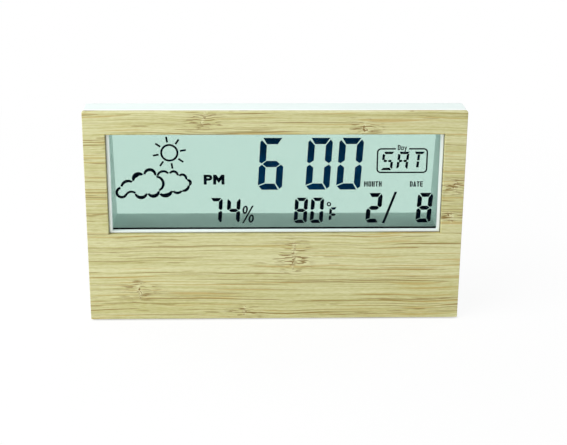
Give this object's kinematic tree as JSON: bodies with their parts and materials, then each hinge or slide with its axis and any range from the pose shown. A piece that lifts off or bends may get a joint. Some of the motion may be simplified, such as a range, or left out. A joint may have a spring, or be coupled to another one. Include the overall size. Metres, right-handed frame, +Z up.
{
  "type": "thermometer hygrometer clock",
  "caption": "Desk clock with thermometer and hygrometer: a bamboo front round a see-through liquid crystal display, on a white wedge-shaped case with rear keys and a battery door.",
  "frame": {"origin": "middle of the base, on the surface that the rubber feet stand on, half-way between the front face and the rear of the plinth", "axes": "+X to the right seen from the front, +Y from the front face to the back, +Z up"},
  "size_m": [0.14, 0.03, 0.0815],
  "materials": {
    "bamboo": "flat-pressed strips, horizontal grain, clear matt lacquer",
    "adhesive_film": "double-sided film",
    "white_abs": "fine moulded texture",
    "gasket_foam": "closed-cell foam",
    "polariser_film": "clear film with a slight green-grey tint",
    "lcd_glass": "clear float glass",
    "zebra_rubber": "layered elastomer",
    "circuit_board": "green solder mask",
    "epoxy": "cast epoxy",
    "can_metal": "plated",
    "capacitor_sleeve": "shrunk sleeve",
    "buzzer_shell": "moulded",
    "sensor_cage": "moulded",
    "probe_bead": "epoxy dipped",
    "switch_shell": "moulded",
    "plunger_plastic": "moulded",
    "button_plastic": "fine moulded texture",
    "screw_steel": "zinc plated",
    "foot_rubber": "matt",
    "cell_jacket": null,
    "contact_nickel": "nickel plated",
    "spring_steel": "nickel plated",
    "lead_red": "extruded insulation",
    "lead_black": "extruded insulation"
  },
  "bodies": {
    "case": {"bamboo_panel": "bamboo", "panel_adhesive": "adhesive_film", "front_frame": "white_abs", "front_gasket": "gasket_foam", "front_polariser": "polariser_film", "front_glass": "lcd_glass", "rear_glass": "lcd_glass", "rear_polariser": "polariser_film", "rear_gasket": "gasket_foam", "zebra_strip": "zebra_rubber", "main_board": "circuit_board", "chip_blob": "epoxy", "crystal": "can_metal", "capacitor": "capacitor_sleeve", "buzzer": "buzzer_shell", "humidity_sensor": "sensor_cage", "temperature_probe": "probe_bead", "switch_bases": "switch_shell", "board_screws": "screw_steel", "rear_housing": "white_abs", "case_screws": "screw_steel", "rubber_feet": "foot_rubber", "upper_cell": "cell_jacket", "lower_cell": "cell_jacket", "series_contact": "contact_nickel", "positive_contact": "contact_nickel", "negative_contact": "contact_nickel", "series_spring": "spring_steel", "negative_spring": "spring_steel", "positive_lead": "lead_red", "negative_lead": "lead_black"},
    "mode_key": {"mode_button": "button_plastic", "mode_plunger": "plunger_plastic"},
    "set_key": {"set_button": "button_plastic", "set_plunger": "plunger_plastic"},
    "up_key": {"up_button": "button_plastic", "up_plunger": "plunger_plastic"},
    "down_key": {"down_button": "button_plastic", "down_plunger": "plunger_plastic"},
    "door": {"battery_door": "white_abs"}
  },
  "joints": [
    {"name": "mode_press", "type": "slide", "parent": "case", "child": "mode_key", "axis": [0, -1, 0], "range_m": [0, 0.0004], "stiffness_N_per_m": 2500, "springref_m": -0.0004},
    {"name": "set_press", "type": "slide", "parent": "case", "child": "set_key", "axis": [0, -1, 0], "range_m": [0, 0.0004], "stiffness_N_per_m": 2500, "springref_m": -0.0004},
    {"name": "up_press", "type": "slide", "parent": "case", "child": "up_key", "axis": [0, -1, 0], "range_m": [0, 0.0004], "stiffness_N_per_m": 2500, "springref_m": -0.0004},
    {"name": "down_press", "type": "slide", "parent": "case", "child": "down_key", "axis": [0, -1, 0], "range_m": [0, 0.0004], "stiffness_N_per_m": 2500, "springref_m": -0.0004},
    {"name": "door_hinge", "type": "hinge", "parent": "case", "child": "door", "pos_m": [0, 0.01363, 0.00727], "axis": [-1, 0, 0], "range_deg": [0, 75]}
  ]
}
